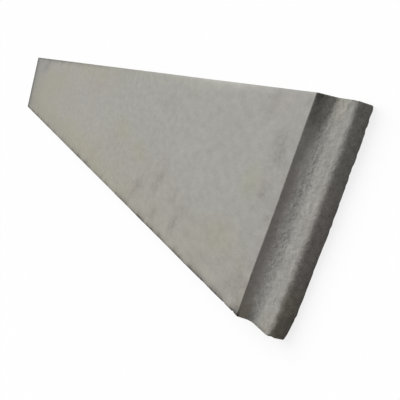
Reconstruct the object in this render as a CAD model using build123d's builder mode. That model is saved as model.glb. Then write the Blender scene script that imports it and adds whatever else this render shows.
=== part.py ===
from build123d import *

import os
from math import radians, tan

os.makedirs("parts", exist_ok=True)

# Concrete gravel board for the foot of a fence: one wet-cast plank, rebated at both ends.
# It lies on its trowelled back with the moulded face up. X is the length and Y the width.
# The origin is the middle of the back. Lengths are millimetres and angles are degrees.

# Plank
board_length = 2440.0
board_width = 305.0
board_thickness = 40.0
edge_draft = 2.0  # the mould opens at the back, so the long edges lean in towards the face

# Tongue at each end, which drops into the slot of a fence post
tongue_length = 55.0  # from the end of the face to the tip
tip_thickness = 21.5
tip_draft = 12.0  # the tip leans back from its foot, as the mould needs
tongue_fall = 3.0  # the tongue thins towards its tip by this slope
nose_radius = 13.0

# Step from the face down to the tongue
step_slope = 56.0  # measured from the plane of the face
cove_radius = 30.0

# Arrises
moulded_arris = 2.0
trowelled_arris = 1.0

tip_x = board_length / 2
face_end_x = tip_x - tongue_length
shoulder_x = tip_x - tip_thickness * tan(radians(tip_draft))

# Where the slope of the step would meet the tongue if there were no cove
root_depth = board_thickness - tip_thickness - (shoulder_x - face_end_x) * tan(radians(tongue_fall))
root_run = root_depth / (tan(radians(step_slope)) - tan(radians(tongue_fall)))
root_height = board_thickness - root_run * tan(radians(step_slope))

# One cast piece: the long section gives the steps, coves, tongues and noses at both ends,
# and the cross section gives the drafted long edges.
with BuildPart() as gravel_board:
    with BuildSketch(Plane.XZ) as long_section:
        with BuildLine() as half_outline:
            FilletPolyline(
                (0, 0),
                (tip_x, 0),
                (shoulder_x, tip_thickness),
                (face_end_x + root_run, root_height),
                (face_end_x, board_thickness),
                (0, board_thickness),
                radius=(0, 0, nose_radius, cove_radius, 0, 0),
                close=True,
            )
        make_face()
        mirror(about=Plane.YZ)
    extrude(amount=board_width, both=True)

    with BuildSketch(Plane.YZ) as cross_section:
        Trapezoid(
            board_width,
            board_thickness,
            left_side_angle=90 - edge_draft,
            align=(Align.CENTER, Align.MIN),
        )
    extrude(amount=board_length, both=True, mode=Mode.INTERSECT)

    # The mould rounds every arris that it forms: along both long edges, down the steps, round the
    # tongues and their noses, and across the two ends of the face
    faces_upward = gravel_board.faces().sort_by(Axis.Z)
    faces_across = gravel_board.faces().sort_by(Axis.Y)
    long_edge_outlines = faces_across[:1].edges() + faces_across[-1:].edges()
    face_ends = faces_upward[-1].edges().filter_by(Axis.Y)
    fillet(long_edge_outlines + face_ends - faces_upward[0].edges(), radius=moulded_arris)

    # The trowel leaves a finer arris round the back
    fillet(gravel_board.faces().sort_by(Axis.Z)[0].edges(), radius=trowelled_arris)

gravel_board.part.label = "gravel_board"
export_step(gravel_board.part, "parts/gravel_board.step")
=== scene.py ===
import logging
import math
from collections.abc import Callable
from dataclasses import dataclass, field
from enum import IntEnum
from functools import partial

import bpy
import numpy as np
from mathutils import Matrix, Vector


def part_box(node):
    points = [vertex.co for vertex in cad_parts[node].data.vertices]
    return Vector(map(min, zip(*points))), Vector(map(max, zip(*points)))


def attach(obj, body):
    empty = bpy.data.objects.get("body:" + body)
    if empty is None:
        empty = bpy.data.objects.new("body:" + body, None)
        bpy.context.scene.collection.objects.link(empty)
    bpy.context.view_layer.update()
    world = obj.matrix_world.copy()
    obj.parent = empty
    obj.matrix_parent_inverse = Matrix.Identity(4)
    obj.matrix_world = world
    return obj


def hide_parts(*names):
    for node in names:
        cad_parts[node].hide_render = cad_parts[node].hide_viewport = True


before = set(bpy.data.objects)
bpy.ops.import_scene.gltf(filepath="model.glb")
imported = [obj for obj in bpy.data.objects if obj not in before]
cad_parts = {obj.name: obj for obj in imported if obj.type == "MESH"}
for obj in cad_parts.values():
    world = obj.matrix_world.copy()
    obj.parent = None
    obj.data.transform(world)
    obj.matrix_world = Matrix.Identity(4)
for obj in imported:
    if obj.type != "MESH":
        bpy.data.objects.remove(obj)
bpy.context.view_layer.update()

# Precast concrete gravel board, lying on its back with the moulded face up.
# Shapes are worked out in millimetres in the board's own frame and put into meshes in metres.

LOG = logging.getLogger("gravel_board")
MM = 0.001
NODE = "gravel_board"
PIECE = "gravel_board_casting"
WHITE = (1.0, 1.0, 1.0, 1.0)

Array = np.ndarray
Pairs = tuple[tuple[float, float], ...]
Triples = tuple[tuple[float, float, float], ...]


class Skin(IntEnum):
    """Stretches of the board's skin by how they were made, in the order of its material slots."""

    MOULDED = 0
    REBATED = 1
    TROWELLED = 2


def linear(hex_colour: str) -> tuple[float, float, float, float]:
    """Turns an sRGB hex colour into the linear colour with alpha that a socket takes."""
    channels = [int(hex_colour[i:i + 2], 16) / 255 for i in (0, 2, 4)]
    return (*(c / 12.92 if c <= 0.04045 else ((c + 0.055) / 1.055) ** 2.4 for c in channels), 1.0)


def smooth_rise(low: float, high: float, values: Array) -> Array:
    """Rises from 0 at low to 1 at high as three t squared less two t cubed."""
    t = np.clip((values - low) / (high - low), 0, 1)
    return t * t * (3 - 2 * t)


def between(values: Array, stations: Pairs) -> Array:
    """Reads a quantity that is given at a few places, along straight lines between them."""
    return np.interp(values, *np.array(stations, float).T)


@dataclass(frozen=True)
class Waves:
    """Smooth noise in space that is the same on every run.

    The value at p is the sum of sin(k . p + phase) over the waves, divided by the root of half their
    number, so it spreads by about 1. Each k points at random, and its wavelength is drawn evenly on
    a logarithmic scale.
    """

    shortest: float
    longest: float
    seed: int
    count: int = 24

    def at(self, points: Array) -> Array:
        """Gives the noise at points.

        Args:
            points: positions in mm, with a last axis of 1 to 3 numbers.

        Returns:
            One value for each point.
        """
        rng = np.random.default_rng(self.seed)
        heading = rng.normal(size=(self.count, 3))
        heading /= np.linalg.norm(heading, axis=1, keepdims=True)
        length = np.exp(rng.uniform(math.log(self.shortest), math.log(self.longest), self.count))
        phase = rng.uniform(0, 2 * math.pi, self.count)
        k = (heading * (2 * math.pi / length)[:, None])[:, :points.shape[-1]]
        total = sum(np.sin(points @ wave + shift) for wave, shift in zip(k, phase))
        return total / math.sqrt(self.count / 2)

    def held(self, points: Array, limit: float) -> Array:
        """Gives the noise at points, held within a limit either way."""
        return np.clip(self.at(points), -limit, limit)


@dataclass(frozen=True)
class Patch:
    """A soft-edged elliptical mark on the face, strongest at its middle.

    Attributes:
        x, y: its middle along and across the board, in mm.
        long, short: its reach along its two axes, in mm.
        strength: share at the middle.
        turn: angle from the board's length to the long axis, in degrees.
    """

    x: float
    y: float
    long: float
    short: float
    strength: float
    turn: float = 0

    def at(self, points: Array) -> Array:
        """Falls off as the exponential of minus the squared distance in the ellipse's own axes.

        Args:
            points: positions in mm, with a last axis of x and y first.

        Returns:
            A share for each point.
        """
        c, s = math.cos(math.radians(self.turn)), math.sin(math.radians(self.turn))
        dx, dy = points[..., 0] - self.x, points[..., 1] - self.y
        along, across = (c * dx + s * dy) / self.long, (c * dy - s * dx) / self.short
        return self.strength * np.exp(-(along ** 2 + across ** 2))


@dataclass(frozen=True)
class Chip:
    """A crumb broken out of an arris: a round dent about a point, in mm."""

    x: float
    y: float
    z: float
    radius: float
    depth: float

    def at(self, points: Array) -> Array:
        """Depth times the square of one less the squared share of the radius, and nothing beyond it."""
        away = np.linalg.norm(points - np.array([self.x, self.y, self.z]), axis=-1) / self.radius
        return self.depth * np.clip(1 - away ** 2, 0, 1) ** 2


@dataclass(frozen=True)
class Fade:
    """A share that goes smoothly from none at one place to its strength at another, in mm."""

    none_at: float
    full_at: float
    strength: float = 1.0

    def at(self, values: Array) -> Array:
        """Strength times the smooth rise between the two places, which may run either way."""
        return self.strength * smooth_rise(self.none_at, self.full_at, values)


@dataclass(frozen=True)
class Bump:
    """A share that is strongest at one place and falls off to both sides of it, in mm."""

    place: float
    reach: float
    strength: float

    def at(self, values: Array) -> Array:
        """Strength times the exponential of minus the squared share of the reach."""
        return self.strength * np.exp(-((values - self.place) / self.reach) ** 2)


@dataclass(frozen=True)
class EndPatch:
    """A mark on a rebated end, bounded by a fade across the board and one or two along the run."""

    strength: float
    across: Fade | None
    along: Fade
    also_along: Fade | None = None

    def at(self, y: Array, run: Array) -> Array:
        """Strength times every one of the fades."""
        fades = ((self.across, y), (self.along, run), (self.also_along, run))
        return self.strength * np.prod([fade.at(values) for fade, values in fades if fade], axis=0)


@dataclass(frozen=True)
class Marks:
    """What weather and handling left on the skin, and some painted shade and highlight, as shares
    from 0 to 1 at each of its points.

    Attributes:
        points: where the points lie, (point, 3), in mm.
        inside: how far in from the nearer long edge each lies.
        run: how far beyond the end of the face each lies, less than nothing on the face.
        patches: on the face, rubbed dark streaks and small dark dots on the chips as smudge, and warm
            blooms, yellowish as olive and pinkish as rose.
    """

    points: Array
    inside: Array
    run: Array
    patches: dict[str, tuple[Patch, ...]]

    # The drafted sides start a little inside the long arris and end under the face's arris
    SIDE_INSIDE = Fade(0.9, 0.4)
    SIDE_HEIGHT = Fade(38.5, 36)
    FACE_END = Fade(1, -1)
    FACE_END_ON_SIDE = Fade(40, -50)
    FACE_HEIGHT = Fade(24, 32)

    # Darkening along the long edges, by place along the board, thinner on two stretches of the lower
    #     # one. Its reach wavers, and grows from the near to the far end.
    EDGE_DARK_REACH = (3.8, 8.0)
    LOWER_EDGE_DARKENING = (
        (-1100, 1.5), (-500, 1.1), (-150, 0.75), (60, 0.65), (230, 1.45), (700, 1.35), (790, 1.8),
        (940, 1.25), (1150, 1.45))
    THINNED = (Bump(450, 170, 0.68), Bump(718, 42, 0.42))
    UPPER_EDGE_DARKENING = Fade(750, -700, 0.9)
    FARNESS = Fade(1000, -1100)
    REACH_WAVES = Waves(14, 130, 51)
    REACH_WAVER = 0.35
    WAVE_LIMIT = 1.6
    SIDE_SHARE = 0.22
    EDGE_HEIGHT = Fade(34, 38.5)
    BAND_DIRT = Bump(170, 300, 0.10)
    BAND_REACH = 24.0
    FLANK_DIRT = 0.3

    # Dirt at the far end, whose long reach over the face is also painted shade that darkens the far
    #     # half: its strength and how far it reaches, on the face and then down the step
    FAR_FACE_END = -1162.0
    FAR_DIRT_AND_SHADE = ((0.66, 40.0), (0.38, 280.0))
    FAR_TONGUE_DIRT = 0.28
    FAR_STEP_DIRT = (0.55, 20.0)
    FAR_SIDE_LOSS = 0.7

    # Darkening on the tips below a wavering line, by height above the back and place across the board
    TIP_RUN = Fade(38, 42)
    TIP_LINE = 20.4
    TIP_WAVES = Waves(12, 90, 52)
    TIP_WAVER = 0.5
    TIP_SOFTNESS = 0.9
    TIP_RISE = Fade(140, 100, 0.4)
    TIP_BUMP = Bump(-108, 20, 0.9)
    TIP_DARKENING = 0.18
    TIP_DARKENING_ACROSS = (
        Fade(30, -10, 0.06), Fade(-55, -95, 0.10), Fade(-95, -150, 0.14), Fade(125, 148, 0.06))

    # Painted shade on the near step at its dark upper corner, where less light reaches the slope, and
    #     # then fainter darkening at its lower corner
    STEP_HEIGHT = Fade(16, 20)
    UPPER_STEP_SHADE = (
        EndPatch(0.62, Fade(88, 135), Fade(21, 4)), EndPatch(0.24, Fade(132, 148), Fade(21, 4)))
    LOWER_STEP_DARKENING = (
        EndPatch(0.052, Fade(-116, -134), Fade(18, 11)),
        EndPatch(0.208, Fade(-116, -134), Fade(18, 11), Fade(2, 8)))
    LIP_DARKENING = EndPatch(0.65, None, Fade(10, 14), Fade(42, 34))
    LIP_REACH = 3.0

    # How pale the upper long edge is rubbed, by place along the board, and how far in
    PALE_REACH = 7.0
    PALE_WEAR = (Fade(550, 930, 0.90), Fade(1010, 1100, -0.65))

    # Tones of the rebated ends by run, over slope, cove, tongue and nose: pinkness, coarseness and
    #     # paleness, whose last values are a painted highlight on the nose, and what is added or taken
    #     away
    #     # in the corners
    END_RUNS = (0, 5, 9, 14, 20, 24, 34, 40, 46, 51)
    END_ROSE = (0.67, 0.67, 0.62, 0.32, 0.08, 0.12, 0.30, 0.28, 0.32, 0.80)
    END_COARSE = (0.12, 0.22, 0.65, 1.0, 0.80, 0.38, 0.40, 0.12, 0.3, 1.0)
    NEAR_SMOOTHING = EndPatch(0.42, Fade(-45, -95), Fade(46, 40))
    # The paleness at the nose is a painted highlight that lifts its shade
    END_PALE = (0.0, 0.06, 0.30, 0.25, 0.24, 0.24, 0.18, 0.12, 0.03, 0.02)
    END_OLIVE = (
        EndPatch(0.65, Fade(112, 142), Fade(12, 20), Fade(40, 34)),
        EndPatch(0.90, Fade(-95, -140), Fade(14, 4)),
        EndPatch(0.60, Fade(-95, -140), Fade(14, 22), Fade(47, 41)),
        EndPatch(0.95, Fade(-60, -105), Fade(43, 49)))
    END_ROSE_LOSS = (
        EndPatch(0.90, Fade(45, 85), Fade(20, 12)), EndPatch(0.85, Fade(30, 80), Fade(41, 47)))
    NEAR_ROSE_LOSS = EndPatch(0.50, Fade(112, 142), Fade(20, 26))

    @property
    def beside(self) -> Array:
        """1 on the drafted sides and 0 elsewhere."""
        return self.SIDE_INSIDE.at(self.inside) * self.SIDE_HEIGHT.at(self.points[:, 2])

    @property
    def on_face(self) -> Array:
        """1 along the face and 0 on the ends, changing sharply on top and slowly on the sides."""
        on_side = self.FACE_END_ON_SIDE.at(self.run)
        return self.FACE_END.at(self.run) * (1 - self.beside) + on_side * self.beside

    @property
    def faced(self) -> Array:
        """1 near the height of the face and 0 near the back."""
        return self.FACE_HEIGHT.at(self.points[:, 2])

    @property
    def lower(self) -> Array:
        """True on the half of the board by the lower long edge."""
        return self.points[:, 1] < 0

    @property
    def near(self) -> Array:
        """True on the near half of the board."""
        return self.points[:, 0] > 0

    def shares(self) -> dict[str, Array]:
        """Works out every mark.

        Returns:
            The marks by name.
        """
        y, run, on_face = self.points[:, 1], self.run, self.on_face
        face = {name: sum(patch.at(self.points) for patch in patches)
                for name, patches in self.patches.items()}
        end_olive = sum(patch.at(y, run) for patch in self.END_OLIVE)
        end_rose = np.interp(run, self.END_RUNS, self.END_ROSE)
        for loss in self.END_ROSE_LOSS:
            end_rose = end_rose * (1 - loss.at(y, run))
        end_rose = end_rose * (1 - self.NEAR_ROSE_LOSS.at(y, run) * self.near)
        coarse = np.interp(run, self.END_RUNS, self.END_COARSE)
        coarse = coarse * (1 - self.NEAR_SMOOTHING.at(y, run) * self.near)
        darkenings = (self.edge_darkening(), self.far_dirt_and_shade(), self.tip_darkening(), self.step_shade_and_darkening())
        return {
            "smudge": face["smudge"] * on_face * self.faced,
            "olive": face["olive"] * on_face + end_olive * (1 - on_face),
            "rose": face["rose"] * on_face + end_rose * (1 - on_face),
            "soil_and_shade": np.maximum.reduce(darkenings),
            "pale": self.paleness(),
            "coarse": coarse * (1 - on_face),
        }

    def edge_darkening(self) -> Array:
        """Darkening along both long edges, and dirt on the sides of the ends.

        It falls off as the exponential of minus the distance inside the edge over an uneven reach.
        It is fainter on the sides, and a broad faint band lies along the lower edge.

        Returns:
            A share for each point.
        """
        x, z = self.points[:, 0], self.points[:, 2]
        uneven = 1 + self.REACH_WAVER * self.REACH_WAVES.held(self.points[:, :1], self.WAVE_LIMIT)
        near_reach, far_reach = self.EDGE_DARK_REACH
        reach = (near_reach + (far_reach - near_reach) * self.FARNESS.at(x)) * uneven
        lower = between(x, self.LOWER_EDGE_DARKENING) - sum(bump.at(x) for bump in self.THINNED)
        share = np.where(self.lower, lower, self.UPPER_EDGE_DARKENING.at(x))
        height = self.SIDE_SHARE + (1 - self.SIDE_SHARE) * self.EDGE_HEIGHT.at(z)
        edge = share * np.exp(-self.inside / reach) * self.on_face * height
        band = self.BAND_DIRT.at(x) * np.exp(-(self.inside / self.BAND_REACH) ** 2) * self.lower
        band = band * self.on_face * self.faced
        return np.maximum(edge + band, self.FLANK_DIRT * self.beside * (1 - self.on_face))

    def far_dirt_and_shade(self) -> Array:
        """Dirt at the far end, on the last of the face and on its tongue, and painted shade on the face.

        On the face it is a short and a long exponential of minus the distance from its far end, and
        the long one is dirt and painted shade that darkens the far half. On the far step it falls off
        the same way to an even share.

        Returns:
            A share for each point.
        """
        past = np.maximum(self.points[:, 0] - self.FAR_FACE_END, 0)
        face = sum(strength * np.exp(-past / reach) for strength, reach in self.FAR_DIRT_AND_SHADE)
        strength, reach = self.FAR_STEP_DIRT
        step = strength * np.exp(-np.maximum(self.run, 0) / reach)
        step = step * (1 - self.FAR_SIDE_LOSS * self.beside)
        beyond = (self.FAR_TONGUE_DIRT + step) * (1 - self.on_face) * ~self.near
        return np.maximum(face * self.on_face * self.faced, beyond)

    def tip_darkening(self) -> Array:
        """Darkening on both tips, below a line whose height wavers across the board.

        Returns:
            A share for each point.
        """
        y, z = self.points[:, 1], self.points[:, 2]
        waver = self.TIP_WAVES.held(self.points[:, 1:2], self.WAVE_LIMIT)
        line = self.TIP_LINE + self.TIP_WAVER * waver
        line = line + self.TIP_RISE.at(np.abs(y)) + self.TIP_BUMP.at(y)
        share = self.TIP_DARKENING + sum(fade.at(y) for fade in self.TIP_DARKENING_ACROSS)
        below = smooth_rise(line + self.TIP_SOFTNESS, line - self.TIP_SOFTNESS, z)
        return share * below * self.TIP_RUN.at(self.run)

    def step_shade_and_darkening(self) -> Array:
        """Painted shade at the near step's upper corner, and darkening at its lower corner and arris.

        Returns:
            A share for each point, along the arris by the exponential of minus the distance inside it
            over its reach.
        """
        y, run = self.points[:, 1], self.run
        # The upper corner's darkening is painted shade, for less light at the top of the slope
        upper = sum(corner_patch.at(y, run) for corner_patch in self.UPPER_STEP_SHADE)
        upper = upper * self.STEP_HEIGHT.at(self.points[:, 2])
        lower = sum(corner_patch.at(y, run) for corner_patch in self.LOWER_STEP_DARKENING)
        lip = self.LIP_DARKENING.at(y, run) * np.exp(-self.inside / self.LIP_REACH) * self.lower
        corner_darkening = np.maximum(upper, lower) * (1 - self.on_face)
        return np.maximum(corner_darkening, lip) * self.near

    def paleness(self) -> Array:
        """The rubbed strip along the upper long edge, the paler cove and tongue, and a painted highlight
        on the nose.

        Returns:
            A share for each point, on the strip by the exponential of minus the distance inside the
            edge over its reach.
        """
        wear = sum(fade.at(self.points[:, 0]) for fade in self.PALE_WEAR)
        strip = wear * np.exp(-self.inside / self.PALE_REACH) * ~self.lower * self.on_face
        return strip + np.interp(self.run, self.END_RUNS, self.END_PALE) * (1 - self.on_face)


def rounded_outline(corners: Array, radii: Array,
                    steps: tuple[int, ...]) -> tuple[Array, Array]:
    """Rounds the inner corners of many outlines at once.

    A run heads at angle a, and the arc at its end turns the heading by w. The arc leaves the run
    radius times tan(|w| / 2) before the corner, and follows
    start + sign(w) radius (sin h - sin a, cos a - cos h) as its heading h goes from a to a + w.

    Args:
        corners: corner points, (corner, outline, 2).
        radii: radius at each inner corner, (corner - 2, outline).
        steps: steps in each stretch in turn: run, arc, run and so on. A last run of none ends the
            outline where its last arc ends.

    Returns:
        The points and their unit normals to the left of the heading, each (point, outline, 2).
    """
    runs = np.diff(corners, axis=0)
    headings = np.arctan2(runs[..., 1], runs[..., 0])
    turns = (np.diff(headings, axis=0) + math.pi) % (2 * math.pi) - math.pi
    setbacks = radii * np.tan(np.abs(turns) / 2)
    ahead = np.stack([np.cos(headings), np.sin(headings)], -1)
    points, normals = [], []

    def keep(stretch: Array, heading: Array) -> None:
        """Adds points and the normals that go with their heading."""
        points.append(stretch)
        normals.append(np.broadcast_to(np.stack([-np.sin(heading), np.cos(heading)], -1), stretch.shape))

    for k, heading in enumerate(headings):
        begin = corners[k] + (setbacks[k - 1][:, None] * ahead[k] if k else 0)
        last = k == len(headings) - 1
        end = corners[k + 1] - (0 if last else setbacks[k][:, None] * ahead[k])
        share = (np.arange(steps[2 * k]) / max(steps[2 * k], 1))[:, None, None]
        keep(begin + share * (end - begin), heading[None] + 0 * share[..., 0])
        if last:
            keep((end if steps[-1] else begin)[None], heading[None])
            break
        share = (np.arange(steps[2 * k + 1]) / steps[2 * k + 1])[:, None]
        swung = heading + share * turns[k]
        bend = np.stack([np.sin(swung) - np.sin(heading), np.cos(heading) - np.cos(swung)], -1)
        keep(end + (np.sign(turns[k]) * radii[k])[:, None] * bend, swung)
    return np.concatenate(points), np.concatenate(normals)


@dataclass
class RebatedEnd:
    """One end of the board: the step down from the face, the cove, the tongue and its nose.

    Heights are above the back, and runs are outward from the end of the face, in mm. Angles are in
    degrees. The tongue's length is taken at its foot, and the tip's thickness where the tongue's top
    would meet it.

    Attributes:
        ragged: depth of the crumbs out of the foot.
        lean: of the tip from the upright, by place across the board, as are the next three.
        step: angle of the slope, and radius of the cove.
        tip: how far the foot falls short of the tongue's length, and radius of the nose.
        worn_line: how far the end of the face is worn back.
    """

    thickness: float
    tongue_length: float = 58.6
    tip_thickness: float = 21.5
    tongue_fall: float = 3.0
    face_arris: float = 1.6
    corner_radius: float = 3.0
    ragged: float = 0.6
    seed: int = 11
    lean: Pairs = ((0, 14.0),)
    step: Triples = ((-152, 58, 14), (-125, 56, 36), (152, 56, 36))
    tip: Triples = (
        (-152, 3.5, 13), (-135, 1.0, 13), (0, 0.2, 13), (152, 3.0, 13))
    worn_line: Pairs = ((-152, 1.0), (0, 0.0), (152, 1.0))

    # Steps along the upper outline: face, arris, slope, cove, tongue, nose and none below
    STEPS = (6, 5, 8, 18, 14, 10, 0)
    # How far the cove and the nose swell and shrink, as shares of their radii
    COVE_WAVER = 0.10
    NOSE_WAVER = 0.05
    # Least length of straight slope between the arris and the cove
    SLOPE_LEFT = 0.3
    # Crumbs are out of the foot where its waves pass a level, down to a limit
    CRUMB_LEVEL = 0.5
    CRUMB_LIMIT = 1.5
    BACK_ARRIS = 1.0
    BACK_ARRIS_SWELL = 0.5
    BACK_ARRIS_LIMIT = 2.0

    def outlines(self, y: Array, inside: Array, lead: float) -> tuple[Array, ...]:
        """Works out the upper and lower outline at each place across the board.

        The slope meets the tongue's top where the straight lines cross. The lower outline has as many
        points as the upper, at like runs.

        Args:
            y: places across the board.
            inside: how far in from the long edge each of them lies.
            lead: how far inside the end of the face the outlines start.

        Returns:
            Upper points, upper normals, lower points and lower normals, each (point, place, 2).
        """
        across = y[:, None]
        place, steepness, cove = np.array(self.step, float).T
        slope = np.tan(np.radians(np.interp(y, place, steepness)))
        cove = np.interp(y, place, cove) * (1 + self.COVE_WAVER * Waves(25, 90, self.seed).at(across))
        fall = math.tan(math.radians(self.tongue_fall))
        beyond = np.clip(self.corner_radius - inside, 0, self.corner_radius)
        rounding = self.corner_radius - np.sqrt(self.corner_radius ** 2 - beyond ** 2)
        place, short, nose = np.array(self.tip, float).T
        tip = self.tongue_length - np.interp(y, place, short) - rounding
        nose_waves = Waves(40, 120, self.seed + 2).at(across)
        nose = np.interp(y, place, nose) * (1 + self.NOSE_WAVER * nose_waves)
        shoulder = tip - self.tip_thickness * np.tan(np.radians(between(y, self.lean)))
        root_depth = self.thickness - self.tip_thickness - shoulder * fall
        worn = between(y, self.worn_line)
        root_run = (root_depth - worn * slope) / (slope - fall)
        steepness = np.arctan(slope)
        room = (root_run + worn) / np.cos(steepness) - self.face_arris * np.tan(steepness / 2)
        room = room - self.SLOPE_LEFT
        cove = np.minimum(cove, room / np.tan((steepness - math.radians(self.tongue_fall)) / 2))

        def column(run: Array | float, height: Array | float) -> Array:
            """One corner of every outline."""
            return np.stack([run + 0 * y, height + 0 * y], -1)

        upper = np.stack([
            column(-lead, self.thickness),
            column(-worn, self.thickness),
            column(root_run, self.thickness - (root_run + worn) * slope),
            column(shoulder, self.tip_thickness),
            column(tip, 0),
        ])
        radii = np.stack([np.full_like(y, self.face_arris), cove, nose])
        top, top_normals = rounded_outline(upper, radii, self.STEPS)

        crumbs = np.clip(Waves(7, 26, self.seed + 3).at(across) - self.CRUMB_LEVEL, 0, self.CRUMB_LIMIT)
        ragged_tip = tip - self.ragged * crumbs
        swell = np.clip(Waves(12, 60, self.seed + 4).at(across), 0, self.BACK_ARRIS_LIMIT)
        back_arris = self.BACK_ARRIS + self.BACK_ARRIS_SWELL * self.ragged * swell
        arc = self.STEPS[-2]
        share = (top[:-arc - 1, :, 0] + lead) / (top[-arc - 1, :, 0] + lead)
        flat_run = -lead + share * (ragged_tip - back_arris + lead)
        flat = np.stack([flat_run, 0 * flat_run], -1)
        back = column(-lead, 0)
        corner = np.stack([back, column(ragged_tip, 0), column(shoulder, self.tip_thickness)])
        bend, bend_normals = rounded_outline(corner, back_arris[None], (0, arc, 0))
        low = np.concatenate([flat, bend])
        low_normals = np.concatenate([np.broadcast_to([0.0, 1.0], flat.shape), bend_normals])
        return top, top_normals, low, -low_normals


@dataclass
class GravelBoard:
    """The whole casting as one closed skin, with the relief that a mould and a trowel leave.

    It is the surface of a lattice along, across and through the board. The upper sheet is the face
    with both rebated ends, the lower one is the back, and the four sides lie on straight lines from
    one to the other. The lattice crowds towards the ends and the long edges. Lengths are in mm, and
    the draft is in degrees.
    """

    near: RebatedEnd
    far: RebatedEnd
    length: float
    width: float
    thickness: float
    chips: tuple[Chip, ...]
    patches: dict[str, tuple[Patch, ...]]
    draft: float = 2.0
    moulded_arris: float = 2.0
    back_arris: float = 1.2
    face_steps: int = 200
    across_steps: int = 120
    arris_steps: int = 5
    depth_steps: int = 8
    face_crowding: float = 2.0
    across_crowding: float = 1.0
    face_lead: float = 4.0
    swell_depth: float = 0.12
    trowel_depth: float = 0.35
    trowel_stretch: float = 0.35
    points: Array = field(init=False)
    quads: Array = field(init=False)
    skins: Array = field(init=False)

    # Wear of the long arrises: its waves above and below, and their share of a radius
    ARRIS_WAVES = {True: Waves(25, 160, 31), False: Waves(25, 160, 32)}
    ARRIS_WAVER = 0.22
    ARRIS_LIMIT = 1.5
    # Where the long arrises narrow to run round the end of the face and the foot of the tip
    FACE_END_REACH = 6.0
    FOOT_RUN = Fade(40, 46)
    FOOT_ARRIS = 1.1
    ARRIS_ROOM = 0.98
    SWELLS = Waves(90, 420, 41)
    TROWEL_WAVES = Waves(28, 120, 42)
    BACK_SKIN = Fade(0.6, 0.0)

    def stations(self, steps: int, crowding: float) -> Array:
        """Places from -1 to 1 that crowd towards both ends as a hyperbolic tangent."""
        return np.tanh(np.linspace(-crowding, crowding, steps + 1)) / math.tanh(crowding)

    def sheets(self) -> tuple[Array, Array]:
        """Builds the upper and the lower sheet.

        Each is a long outline in X and Z at every place across. A quarter turn by angle q rounds the
        long arris: the line lies r (1 - sin q) inside the drafted side, and its outline is set in
        along its own normals by r (1 - cos q).

        Returns:
            Upper and lower points, each (along, across, 3).
        """
        inner = self.stations(self.across_steps, self.across_crowding)
        quarter = np.linspace(math.pi / 2, 0, self.arris_steps + 1)[:-1]
        side = np.concatenate([-np.ones(self.arris_steps), inner, np.ones(self.arris_steps)])
        turn = np.concatenate([quarter, 0 * inner, quarter[::-1]])
        y = side * (self.width / 2 - self.draft_at(self.thickness) - self.moulded_arris)
        inside = (1 - np.abs(side)) * self.width / 2 + self.moulded_arris * (1 - np.sin(turn))
        face_end = self.length / 2 - self.near.tongue_length
        middle = self.stations(self.face_steps, self.face_crowding)[1:-1] * (face_end - self.face_lead)

        near = self.near.outlines(y, inside, self.face_lead)
        far = self.far.outlines(y, inside, self.face_lead)
        sheets = []
        for part, height in ((0, self.thickness), (2, 0.0)):
            level = np.stack(np.broadcast_arrays(middle[:, None], height + 0 * y[None]), -1)
            up = np.broadcast_to([0.0, 1.0 if part == 0 else -1.0], level.shape)
            flip = np.array([-1.0, 1.0])
            outline = np.concatenate([
                (far[part] + [face_end, 0])[::-1] * flip, level, near[part] + [face_end, 0]])
            normal = np.concatenate([far[part + 1][::-1] * flip, up, near[part + 1]])
            radius = self.arris_radius(outline, part == 0)
            rounded = outline - (radius * (1 - np.cos(turn)))[..., None] * normal * [0, 1]
            half = self.width / 2 - self.draft_at(rounded[..., 1])
            inset = np.where(turn > 0, radius * (1 - np.sin(turn)), radius)
            across = np.where(turn > 0, side * (half - inset), side * (half - radius))
            sheets.append(np.stack([rounded[..., 0], across, rounded[..., 1]], -1))
        return sheets[0], sheets[1]

    def draft_at(self, height: Array | float) -> Array | float:
        """How far a long edge has leaned in at a height above the back."""
        return height * math.tan(math.radians(self.draft))

    def arris_radius(self, outline: Array, upper: bool) -> Array:
        """Radius of a long arris, uneven with wear, but no larger than the bends it runs round.

        Args:
            outline: points of the sheet's outlines, (along, across, 2).
            upper: whether they are the upper sheet's.

        Returns:
            A radius for each point. By the end of the face, as the exponential of minus the squared
            run over a reach, and by the foot it goes over to the narrower one there.
        """
        x = outline[..., :1]
        base = self.moulded_arris if upper else self.back_arris
        worn = base * (1 + self.ARRIS_WAVER * self.ARRIS_WAVES[upper].held(x, self.ARRIS_LIMIT))
        run = np.abs(x[..., 0]) - self.length / 2 + self.near.tongue_length
        bend = np.exp(-(run / self.FACE_END_REACH) ** 2) if upper else self.FOOT_RUN.at(run)
        narrow = min(self.near.face_arris if upper else self.FOOT_ARRIS, base) * self.ARRIS_ROOM
        return worn + (narrow - worn) * bend

    def build(self) -> None:
        """Joins the sheets into one closed skin, then sinks the relief into it."""
        upper, lower = self.sheets()
        share = np.linspace(0, 1, self.depth_steps + 1)[:, None]
        lattice = lower[:, :, None] + share * (upper - lower)[:, :, None]
        index = np.full(lattice.shape[:3], -1)
        shell = np.ones(index.shape, bool)
        shell[1:-1, 1:-1, 1:-1] = False
        index[shell] = np.arange(shell.sum())
        self.points = lattice[shell]

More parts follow.
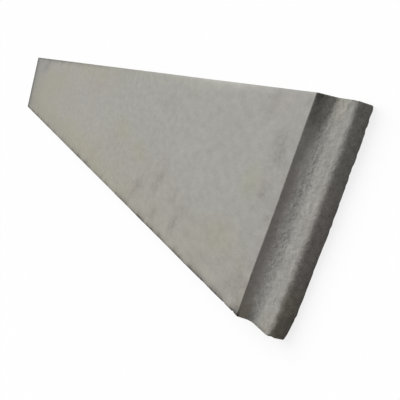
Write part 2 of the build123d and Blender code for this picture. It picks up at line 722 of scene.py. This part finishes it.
        rows = len(upper)
        end_rows = sum(self.near.STEPS) - self.near.STEPS[0]
        top_skin = np.full((rows - 1, upper.shape[1] - 1), Skin.MOULDED)
        top_skin[:end_rows] = Skin.REBATED
        top_skin[-end_rows:] = Skin.REBATED
        patches = [
            (self.sheet_quads(index[:, :, -1]), top_skin.ravel()),
            (self.sheet_quads(index[:, :, 0])[:, ::-1], Skin.TROWELLED),
            (self.sheet_quads(index[:, 0, :]), Skin.MOULDED),
            (self.sheet_quads(index[:, -1, :])[:, ::-1], Skin.MOULDED),
            (self.sheet_quads(index[-1]), Skin.REBATED),
            (self.sheet_quads(index[0])[:, ::-1], Skin.REBATED),
        ]
        self.quads = np.concatenate([quads for quads, _ in patches])
        self.skins = np.concatenate([np.broadcast_to(skin, len(quads)) for quads, skin in patches])
        self.sink_relief()

    @staticmethod
    def sheet_quads(grid: Array) -> Array:
        """Corners of each cell of a grid of vertex numbers, counter-clockwise."""
        return np.stack([grid[:-1, :-1], grid[1:, :-1], grid[1:, 1:], grid[:-1, 1:]], -1).reshape(-1, 4)

    def vertex_normals(self) -> Array:
        """Outward normals: at each vertex the sum of its cells' crossed diagonals, made one long.

        Returns:
            A unit vector for each point.
        """
        corner = self.points[self.quads]
        facing = np.cross(corner[:, 2] - corner[:, 0], corner[:, 3] - corner[:, 1])
        total = np.stack([
            np.bincount(self.quads.ravel(), np.repeat(facing[:, axis], 4), len(self.points))
            for axis in range(3)], -1)
        return total / np.linalg.norm(total, axis=1, keepdims=True)

    def sink_relief(self) -> None:
        """Moves the skin inward along its normals, so that it stays inside the plain solid.

        The face dips in long shallow swells, the trowel left waves drawn out along the back, and
        chips are out of the arrises. A depth is one plus its waves, held from 0 to 2, times its scale.
        """
        normals = self.vertex_normals()
        on_back = self.BACK_SKIN.at(self.points[:, 2]) * np.clip(-normals[:, 2], 0, 1)
        swell = self.swell_depth * (1 + self.SWELLS.held(self.points, 1))
        stretched = self.points * [self.trowel_stretch, 1.0, 1.0]
        trowel = self.trowel_depth * (1 + self.TROWEL_WAVES.held(stretched, 1))
        depth = swell * (1 - on_back) + trowel * on_back
        for chip in self.chips:
            depth = depth + chip.at(self.points)
        self.points = self.points - depth[:, None] * normals

    def mesh(self) -> bpy.types.Mesh:
        """Puts the skin into a mesh, with its finishes by slot and its marks as point attributes.

        Returns:
            The mesh, in metres.
        """
        mesh = bpy.data.meshes.new(PIECE)
        mesh.from_pydata((self.points * MM).tolist(), [], self.quads.tolist())
        mesh.polygons.foreach_set("material_index", self.skins.astype(np.int32))
        mesh.polygons.foreach_set("use_smooth", np.ones(len(self.quads), bool))
        x, y, z = self.points.T
        inside = np.maximum(self.width / 2 - self.draft_at(z) - np.abs(y), 0)
        run = np.abs(x) - self.length / 2 + self.near.tongue_length
        for name, values in Marks(self.points, inside, run, self.patches).shares().items():
            layer = mesh.attributes.new(name, "FLOAT", "POINT")
            layer.data.foreach_set("value", np.clip(values, 0, 1).astype(np.float32))
        mesh.validate()
        mesh.update()
        return mesh

    def dress(self, finishes: "tuple[Concrete, ...]") -> bpy.types.Object:
        """Makes the object, gives it its finishes and lets it stand for the plain casting.

        Args:
            finishes: one finish for each Skin, in order.

        Returns:
            The finished object.
        """
        board = put_object(PIECE, self.mesh())
        for finish in finishes:
            board.data.materials.append(finish.material())
        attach(board, "root")
        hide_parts(NODE)
        return board


def put_object(name: str, data: bpy.types.ID) -> bpy.types.Object:
    """Makes an object and puts it into the scene.

    Args:
        name: the object's name.
        data: its mesh, light or camera.

    Returns:
        The object.
    """
    made = bpy.data.objects.new(name, data)
    bpy.context.scene.collection.objects.link(made)
    return made


def add_node(tree: bpy.types.NodeTree, kind: str, inputs: dict | None = None,
             **settings: object) -> bpy.types.NodeOutputs:
    """Adds a node to a tree, with its settings, values and links.

    Args:
        tree: the node tree.
        kind: the node's type name, less its beginning ShaderNode.
        inputs: by input name or number, a value or the output socket that feeds it.
        settings: the node's own properties.

    Returns:
        The node's outputs.
    """
    node = tree.nodes.new("ShaderNode" + kind)
    for name, value in settings.items():
        setattr(node, name, value)
    for key, value in (inputs or {}).items():
        if isinstance(value, bpy.types.NodeSocket):
            tree.links.new(value, node.inputs[key])
        else:
            node.inputs[key].default_value = value
    return node.outputs


def clear_nodes(owner: bpy.types.Material | bpy.types.World) -> Callable:
    """Clears the node tree of a material or a world.

    Args:
        owner: the material or world.

    Returns:
        The function add_node for this tree.
    """
    owner.use_nodes = True
    owner.node_tree.nodes.clear()
    return partial(add_node, owner.node_tree)


# What a bloom takes out of the light: the yellowish one blue, the pinkish one green and blue
OLIVE_FILTER = (1.0, 0.988, 0.885, 1.0)
ROSE_FILTER = (1.0, 0.900, 0.895, 1.0)


@dataclass(frozen=True)
class Concrete:
    """Grey Portland concrete: cement paste and sharp sand, matt all over.

    Cement dries in clouds, so close tones drift over the board. Sand grains give a fine tooth and a
    peppering of dark and light specks, and air caught against the mould leaves small round pits.
    Sizes and heights are in mm, and depths are shares of the tone.
    """

    name: str
    grey: str
    pale: str = "BCBBB4"
    smudged: str = "6C6862"
    # Colour laid for dirt and for painted shade
    soil_and_shade_colour: str = "494743"
    cloud: float = 260.0
    olive_drift: float = 0.25
    rose_drift: float = 0.06
    cloud_depth: float = 0.02
    mottle: float = 14.0
    mottle_depth: float = 0.085
    # Sharp sand is 0.2 to 2 mm across, too fine to show from here, so its grains are drawn coarser
    grain: float = 2.2
    grain_depth: float = 0.045
    # How the mottling is drawn out along the board: its scale there against across
    streak: float = 0.72
    coarse_gain: float = 0.0
    tooth_height: float = 0.10
    lump: float = 9.0
    lump_height: float = 0.15
    # Pits: one to a cell, of a radius up to a share of the cell, and mostly far smaller
    pit_spacing: float = 16.0
    pit_share: float = 0.07
    pit_rarity: float = 3.0
    pit_height: float = 0.6
    pit_darkness: float = 0.4
    smudge_break: float = 7.0
    soil_and_shade_break: float = 14.0
    # Dry cement paste scatters nearly all the light, and its dust leaves hardly any gloss
    roughness: float = 0.92
    gloss: float = 0.05
    ior: float = 1.5

    # Bounds of the middle of a noise's range, and the middle and swing that they are given for
    #     # smudges and for dirt with painted shade
    NOISE_LOW = 0.3
    NOISE_HIGH = 0.7
    SMUDGE_SWING = (0.75, 0.85)
    SOIL_AND_SHADE_SWING = (1.0, 0.25)
    # Shares of a pit's radius at which its floor ends and its brim is reached
    PIT_FLOOR = 0.6
    PIT_BRIM = 1.1
    SMALLEST_PIT = 0.001

    def material(self) -> bpy.types.Material:
        """Builds the finish as a node tree on Object coordinates.

        Returns:
            The material.
        """
        made = bpy.data.materials.new(self.name)
        add = clear_nodes(made)
        place = add("TexCoord")["Object"]
        drawn = add("Mapping", {"Vector": place, "Scale": (self.streak, 1.0, 1.0)})[0]
        names = ("olive", "rose", "pale", "smudge", "soil_and_shade", "coarse")
        mark = {name: add("Attribute", attribute_name=name)["Fac"] for name in names}

        # Noises: the size of their features, their detail and its roughness, where they are read, and
        # the middle and the swing that their own range is carried onto
        noises = {
            "olive": (self.cloud, 4, 0.55, place, 0, self.olive_drift),
            "rose": (0.6 * self.cloud, 4, 0.55, place, 0, self.rose_drift),
            "smudge": (self.smudge_break, 5, 0.75, place, *self.SMUDGE_SWING),
            "soil_and_shade": (self.soil_and_shade_break, 6, 0.7, place, *self.SOIL_AND_SHADE_SWING),
            "mottle": (self.mottle, 6, 0.68, drawn, 0, self.mottle_depth),
            "grain": (self.grain, 2, 0.55, drawn, 0, self.grain_depth),
            "cloud": (0.4 * self.cloud, 3, 0.55, place, 1, self.cloud_depth),
            "lump": (self.lump, 3, 0.55, place, 0, 0)}
        noise, swung = {}, {}
        for name, (size, detail, rough, at, middle, swing) in noises.items():
            noise[name] = add("TexNoise", {
                "Vector": at, "Scale": 1 / (size * MM), "Detail": detail, "Roughness": rough})["Fac"]
            if swing:
                swung[name] = add("MapRange", {
                    "Value": noise[name], "From Min": self.NOISE_LOW, "From Max": self.NOISE_HIGH,
                    "To Min": middle - swing, "To Max": middle + swing})["Result"]

        # Blooms filter the grey and drift slowly. The pale layer, the rubbed strip and paler rebates
        # with a
        #         # painted highlight on the nose, covers them, and dirt with painted shade covers all,
        #         broken up so
        #         # that no streak has an even edge.
        layers = (
            ("olive", "ADD", OLIVE_FILTER, "MULTIPLY"), ("rose", "ADD", ROSE_FILTER, "MULTIPLY"),
            ("pale", "ADD", linear(self.pale), "MIX"),
            ("smudge", "MULTIPLY", linear(self.smudged), "MIX"),
            ("soil_and_shade", "MULTIPLY", linear(self.soil_and_shade_colour), "MIX"))
        tone = linear(self.grey)
        for name, joined, colour, laid in layers:
            share = add("Math", {0: mark[name], 1: swung.get(name, 0.0)}, operation=joined)[0]
            tone = add("Mix", {0: share, 6: tone, 7: colour}, data_type="RGBA", blend_type=laid)[2]

        # Mottling and the peppering of sand, both stronger where the skin is coarse, and clouds
        coarse = add("Math", {0: mark["coarse"], 1: self.coarse_gain, 2: 1.0},
                     operation="MULTIPLY_ADD")[0]
        speckle = add("Math", {0: swung["mottle"], 1: swung["grain"]}, operation="ADD")[0]
        shade = add("Math", {0: speckle, 1: coarse, 2: swung["cloud"]}, operation="MULTIPLY_ADD")[0]

        # Pits of many sizes: a cell's chance to a power keeps most of them tiny
        cells = add("TexVoronoi", {"Vector": place, "Scale": 1 / (self.pit_spacing * MM)})
        brim = add("SeparateColor", {0: cells["Color"]})[0]
        steps = {"POWER": self.pit_rarity, "MULTIPLY": self.pit_share, "MAXIMUM": self.SMALLEST_PIT}
        for operation, value in steps.items():
            brim = add("Math", {0: brim, 1: value}, operation=operation)[0]
        away = add("Math", {0: cells["Distance"], 1: brim}, operation="DIVIDE")[0]
        pit = add("MapRange", {
            "Value": away, "From Min": self.PIT_FLOOR, "From Max": self.PIT_BRIM,
            "To Min": 1.0, "To Max": 0.0})["Result"]
        dark = add("Math", {0: pit, 1: -self.pit_darkness, 2: 1.0}, operation="MULTIPLY_ADD")[0]
        for scale in (shade, dark):
            tone = add("VectorMath", {0: tone, "Scale": scale}, operation="SCALE")[0]

        # Relief of the tooth, the lumps and the pits
        tooth = add("Math", {0: noise["grain"], 1: self.tooth_height}, operation="MULTIPLY")[0]
        height = add("Math", {0: noise["lump"], 1: self.lump_height, 2: tooth},
                     operation="MULTIPLY_ADD")[0]
        height = add("Math", {0: height, 1: coarse}, operation="MULTIPLY")[0]
        height = add("Math", {0: pit, 1: -self.pit_height, 2: height}, operation="MULTIPLY_ADD")[0]
        bump = add("Bump", {"Height": height, "Strength": 1.0, "Distance": MM})[0]
        surface = add("BsdfPrincipled", {
            "Base Color": tone, "Normal": bump, "Roughness": self.roughness, "IOR": self.ior,
            "Specular IOR Level": self.gloss})[0]
        add("OutputMaterial", {"Surface": surface})
        return made


@dataclass(frozen=True)
class Studio:
    """A pale floor under plain soft light, one broad key from beyond the far end and an even fill.

    The floor is in metres, the key's lean, turn and size are in degrees, and a level of 1 shows a
    colour as it is written.
    """

    floor_half_width: float = 12.0
    floor_lines: int = 9
    floor_drop: float = 0.0003
    key_lean: float = 49.0
    key_turn: float = 162.0
    key_size: float = 46.0
    fill: float = 0.30
    level: float = 0.97
    floor_bounce: float = 0.40
    shadow_share: float = 0.2

    def floor(self) -> bpy.types.Object:
        """Lays the floor: a level grid just under the board, white to the camera.

        Returns:
            The floor.
        """
        line = np.linspace(-1, 1, self.floor_lines) * self.floor_half_width
        x, y = np.meshgrid(line, line, indexing="ij")
        points = np.stack([x, y, 0 * x - self.floor_drop], -1).reshape(-1, 3)
        quads = GravelBoard.sheet_quads(np.arange(x.size).reshape(x.shape))
        mesh = bpy.data.meshes.new("studio_floor")
        mesh.from_pydata(points.tolist(), [], quads.tolist())
        mesh.materials.append(self.floor_material())
        floor = put_object("studio_floor", mesh)
        return floor

    def seen(self, add: Callable) -> bpy.types.NodeSocket:
        """Tells rays that the camera, a gloss or a clear body sends from light that bounces.

        Args:
            add: the function that adds to the node tree.

        Returns:
            A socket of 1 for the former and 0 for the latter.
        """
        path = add("LightPath")
        sent = path["Is Camera Ray"]
        for ray in ("Is Glossy Ray", "Is Transmission Ray"):
            sent = add("Math", {0: sent, 1: path[ray]}, operation="MAXIMUM")[0]
        return sent

    def floor_material(self) -> bpy.types.Material:
        """White matt paint: it takes a faint shadow of the board, and throws back little light.

        Returns:
            The material.
        """
        made = bpy.data.materials.new("matt_painted_floor")
        add = clear_nodes(made)
        white = add("BsdfDiffuse", {"Color": WHITE})[0]
        glow = add("Emission", {"Color": WHITE})[0]
        shown = add("MixShader", {0: self.shadow_share, 1: glow, 2: white})[0]
        dull = add("BsdfDiffuse", {"Color": (self.floor_bounce,) * 3 + (1.0,)})[0]
        surface = add("MixShader", {0: self.seen(add), 1: dull, 2: shown})[0]
        add("OutputMaterial", {"Surface": surface})
        return made

    def light(self) -> None:
        """Hangs the key and sets the fill, which give a level surface the level of light together."""
        key = bpy.data.lights.new("key", "SUN")
        lean, turn = math.radians(self.key_lean), math.radians(self.key_turn)
        key.energy = math.pi * (self.level - self.fill) / math.cos(lean)
        key.angle = math.radians(self.key_size)
        reach = math.sin(lean)
        towards = Vector((reach * math.cos(turn), reach * math.sin(turn), math.cos(lean)))
        put_object("key", key).rotation_euler = towards.to_track_quat("Z", "Y").to_euler()

        world = bpy.data.worlds.new("studio")
        add = clear_nodes(world)
        fill = add("Background", {"Color": WHITE, "Strength": self.fill})[0]
        white = add("Background", {"Color": WHITE})[0]
        both = add("MixShader", {0: self.seen(add), 1: fill, 2: white})[0]
        add("OutputWorld", {"Surface": both})
        bpy.context.scene.world = world


@dataclass(frozen=True)
class Viewpoint:
    """The photograph's camera, fitted to the outline of the board: place in mm, and directions."""

    place: tuple[float, float, float] = (1514.99, 77.02, 386.68)
    ahead: tuple[float, float, float] = (-0.81883, -0.18675, -0.54281)
    up: tuple[float, float, float] = (-0.31537, 0.93646, 0.15355)
    focal_px: float = 392.16
    frame_px: float = 400.0
    sensor_mm: float = 36.0

    def camera(self) -> bpy.types.Object:
        """Sets up the camera and makes it the scene's own.

        Returns:
            The camera.
        """
        lens = bpy.data.cameras.new("photo_view")
        lens.sensor_width = self.sensor_mm
        lens.lens = self.sensor_mm * self.focal_px / self.frame_px
        camera = put_object("photo_view", lens)
        back = -Vector(self.ahead).normalized()
        right = Vector(self.up).cross(back).normalized()
        turned = Matrix((right, back.cross(right), back)).transposed().to_4x4()
        camera.matrix_world = Matrix.Translation(Vector(self.place) * MM) @ turned
        bpy.context.scene.camera = camera
        return camera


# Cast on a smooth steel mould: a tight skin, faintly mottled, with tiny pits
MOULDED = Concrete(name="cast_concrete_moulded_face", grey="A5A49F")
# Cast into the corners of the mould, where the mix packs badly: sandy, lumpy and more pitted
REBATED = Concrete(
    name="cast_concrete_rebate", grey="9D9C97", mottle=9.0,
    mottle_depth=0.078, grain_depth=0.043, tooth_height=0.2,
    lump=6.0, lump_height=1.2, coarse_gain=2.0, pit_spacing=11.0, pit_share=0.16,
    cloud=75.0, cloud_depth=0.045)
# Trowelled by hand: an open sandy skin with its marks drawn out along the board
TROWELLED = Concrete(
    name="cast_concrete_trowelled_back", grey="9C9A93", mottle_depth=0.07, grain_depth=0.06,
    streak=0.3, tooth_height=0.35, lump=14.0, lump_height=1.0)

# Patches on the face: x, y, long, short and strength, and turn where there is one
SMUDGES = (
    (825, -60, 30, 12, 0.24, 60), (841, -39, 24, 12, 0.15, 60), (740, -90, 32, 13, 0.21, 50),
    (723, -110, 40, 15, 0.18, 47), (846, -119, 18, 12, 0.25, 42), (880, -146, 14, 6, 0.4),
    (931, -113, 22, 9, 0.31, 69), (939, -92, 25, 9, 0.15, 64), (944, -78, 16, 12, 0.06, 40),
    (903, -65, 16, 13, 0.24, 60), (1133, 15, 10, 7, 0.24, 66), (1129, 20, 20, 8, 0.11, 66),
    (1133, 68, 16, 10, 0.22, 110), (1126, 86, 18, 13, 0.2, 72), (1084, 139, 11, 7, 0.22, 24),
    (1090, 118, 24, 9, 0.14, 80), (1117, -140, 22, 10, 0.12, 69), (1130, -117, 26, 14, 0.09, 32),
    (1154, -12, 12, 6, 0.22, 70), (775, 92, 10, 9, 0.2), (-765, 115, 120, 34, 0.4, 12),
    (-970, 142, 90, 26, 0.22), (-350, 10, 300, 100, 0.05), (-480, -114, 520, 32, 0.14),
    (1147, 40, 22, 110, 0.09), (1140, -110, 26, 40, 0.12), (1098, -90, 60, 60, 0.06),
    (1153, -139, 12, 15, 0.16), (1155, -139, 5, 4, 0.3), (1156, -110, 3, 7, 0.26),
    # The last three are small dark dots on the chips in the lower long edge
    (1155, 139, 4, 5, 0.3), (1061.5, -149.2, 2.6, 1.8, 1.2), (1119.5, -148.9, 2.4, 1.8, 1.2),
    (1148, -148.9, 3.2, 1.8, 1.2),
)
OLIVE_BLOOMS = (
    (-760, -60, 480, 150, 0.85), (-420, 70, 260, 60, 0.6), (-100, -112, 560, 72, 0.75),
    (270, -150, 490, 50, 1.0), (620, -75, 50, 22, 0.32), (180, 145, 400, 40, 0.7),
    (800, 150, 300, 24, 0.25), (0, 40, 260, 90, 0.22), (560, 2, 70, 36, 0.95), (688, -24, 50, 26, 0.9),
    (271, 106, 60, 22, 0.4), (1068, -70, 42, 26, 0.8), (1010, -95, 50, 26, 0.35),
    (1098, 20, 22, 24, 0.8), (1136, -88, 16, 18, 0.5), (1158, -124, 12, 20, 0.55),
    (985, -154, 150, 36, 0.6),
)
ROSE_BLOOMS = (
    (-120, 40, 480, 130, 0.24), (-100, -120, 900, 70, 0.06), (-850, -30, 200, 90, 0.12),
    (820, -95, 480, 62, 0.28), (1170, 0, 28, 260, 0.28), (1100, 138, 50, 36, 0.3),
    (620, -35, 140, 30, 0.1), (230, 88, 170, 46, 0.28), (820, -32, 90, 24, 0.22),
    (1126, 34, 15, 70, 0.24), (835, 5, 44, 22, 0.24), (772, 92, 50, 26, 0.24),
)
PATCHES = {name: tuple(Patch(*row) for row in rows) for name, rows in (
    ("smudge", SMUDGES), ("olive", OLIVE_BLOOMS), ("rose", ROSE_BLOOMS))}
CHIPS = tuple(Chip(*row) for row in (
    (1070, -151, 39.5, 3.2, 1.3), (1125, -151, 39.5, 3.0, 1.2), (1149, -151, 39.5, 3.5, 1.4),
    (1208, -151, 17.0, 5.0, 1.6), (1204, 151, 20.5, 3.5, 1.1), (1209, 151, 18.5, 3.0, 1.0)))

# Wear of the near end, by place across the board, as RebatedEnd reads it
NEAR_STEP = (
    (-152, 59, 14), (-125, 58, 36), (60, 58, 36), (80, 57, 28), (100, 54, 16), (140, 45, 4),
    (152, 42, 3))
NEAR_TIP = (
    (-152, 7.4, 11), (-147, 5.4, 11.5), (-140, 3.8, 12.5), (-125, 1.8, 12.5), (-112, 0.2, 11.5),
    (-90, 0.0, 12), (-72, 0.0, 12), (-50, 0.6, 13), (-14, 0.0, 10.5), (5, 0.0, 10.5), (25, 0.6, 11.5),
    (50, 1.6, 11.8), (75, 2.2, 11), (100, 2.9, 9.8), (130, 4.5, 8), (145, 5.0, 8), (152, 7.3, 8))
NEAR_LEAN = (
    (-135, 14.0), (-105, 22.0), (-75, 19.0), (-45, 18.0), (0, 17.0), (45, 18.5), (60, 14.5),
    (100, 14.5), (120, 14.0))
NEAR_LINE = (
    (-152, 1.6), (-80, 1.4), (-38, 0.6), (5, 0.0), (75, 0.3), (105, 0.4), (135, 0.3), (152, 0.2))


def main() -> None:
    """Builds the board, then the studio and the camera, and reports each piece."""
    logging.basicConfig(level=logging.INFO, format="%(name)s: %(message)s")
    low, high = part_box(NODE)
    size = (high - low) / MM
    board = GravelBoard(
        near=RebatedEnd(
            thickness=size.z, step=NEAR_STEP, tip=NEAR_TIP, lean=NEAR_LEAN, worn_line=NEAR_LINE),
        far=RebatedEnd(thickness=size.z, seed=71),
        length=size.x, width=size.y, thickness=size.z,
        chips=CHIPS, patches=PATCHES)
    board.build()
    casting = board.dress((MOULDED, REBATED, TROWELLED))
    LOG.info("%s: %d points, %d quads", casting.name, len(board.points), len(board.quads))

    studio = Studio()
    LOG.info("%s laid", studio.floor().name)
    studio.light()
    LOG.info("%s set", Viewpoint().camera().name)
    bpy.context.scene.view_settings.view_transform = "Standard"


if __name__ == "__main__":
    main()
